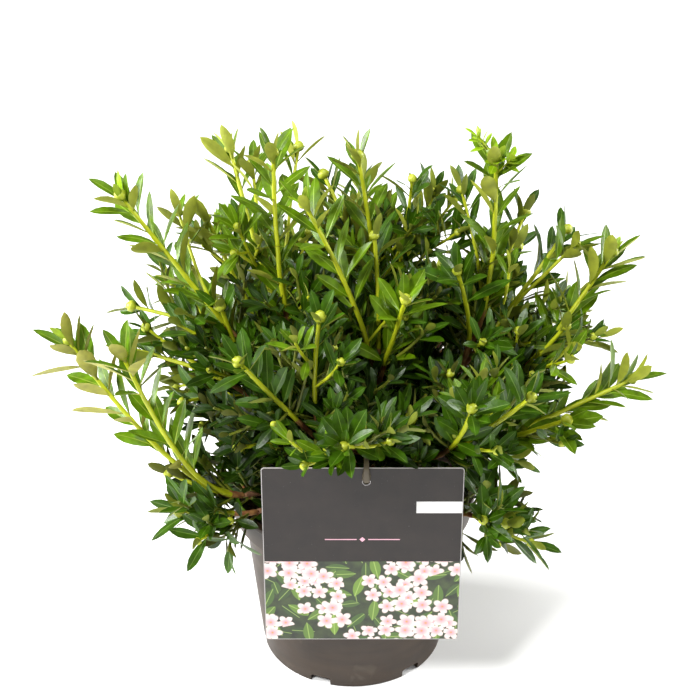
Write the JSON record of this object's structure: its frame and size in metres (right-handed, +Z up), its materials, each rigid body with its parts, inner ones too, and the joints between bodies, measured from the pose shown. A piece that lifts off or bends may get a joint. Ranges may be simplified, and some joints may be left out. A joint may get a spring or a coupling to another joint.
{
  "type": "potted rhododendron shrub",
  "caption": "Potted evergreen shrub: a dense mound of long leafy shoots with narrow dark leaves and pale buds, in a round plastic nursery pot with a plain hanging label.",
  "frame": {"origin": "centre of the pot's flat underside", "axes": "+Z up along the pot's axis; -Y is the front, where the label hangs; +X is to the right seen from the front"},
  "size_m": [0.52, 0.4414, 0.505],
  "materials": {
    "pot": "satin taupe-brown moulded plastic",
    "soil": "moist dark bark compost",
    "label": "satin plastic card, dark grey above a plain flower pattern",
    "stake": "satin grey-taupe plastic",
    "bark": "rough reddish-brown bark",
    "foliage": "satin dark green leaves on yellow-green shoots"
  },
  "bodies": {
    "root": {"pot": "pot", "root_ball": "soil", "label_card": "label", "label_stake": "stake", "trunk": "bark", "bough_bottom_left": "bark", "bough_bottom_right": "bark", "bough_low_left": "bark", "bough_back_right": "bark", "bough_back_left": "bark", "bough_low_right": "bark", "bough_front_right": "bark", "bough_front_left": "bark", "bough_back": "bark", "bough_tall_right": "bark", "bough_centre": "bark", "bough_top_back": "bark", "bough_top_left": "bark", "bough_mid_left": "bark", "bough_front": "bark", "bough_upper_right": "bark", "bough_upper_left": "bark", "foliage_far_left": "foliage", "foliage_left_front": "foliage", "foliage_low_left": "foliage", "foliage_left": "foliage", "foliage_inner_left": "foliage", "foliage_upper_left": "foliage", "foliage_high_back_left": "foliage", "foliage_far_back_left": "foliage", "foliage_back_left": "foliage", "foliage_top_left": "foliage", "foliage_crown_left": "foliage", "foliage_top": "foliage", "foliage_top_back": "foliage", "foliage_top_right": "foliage", "foliage_leaning": "foliage", "foliage_centre": "foliage", "foliage_centre_front": "foliage", "foliage_tall_right": "foliage", "foliage_high_right": "foliage", "foliage_centre_right": "foliage", "foliage_upper_right": "foliage", "foliage_mid_right": "foliage", "foliage_far_right": "foliage", "foliage_low_right": "foliage", "foliage_right_front": "foliage", "foliage_front_right": "foliage", "foliage_front": "foliage", "foliage_front_low": "foliage", "foliage_front_left": "foliage", "foliage_inner_front_left": "foliage", "foliage_inner_front": "foliage", "foliage_bottom_left": "foliage", "foliage_bottom_right": "foliage", "foliage_back_top": "foliage", "foliage_back_low": "foliage", "foliage_back_right": "foliage", "foliage_far_back_right": "foliage", "foliage_low_back_right": "foliage"}
  },
  "joints": []
}
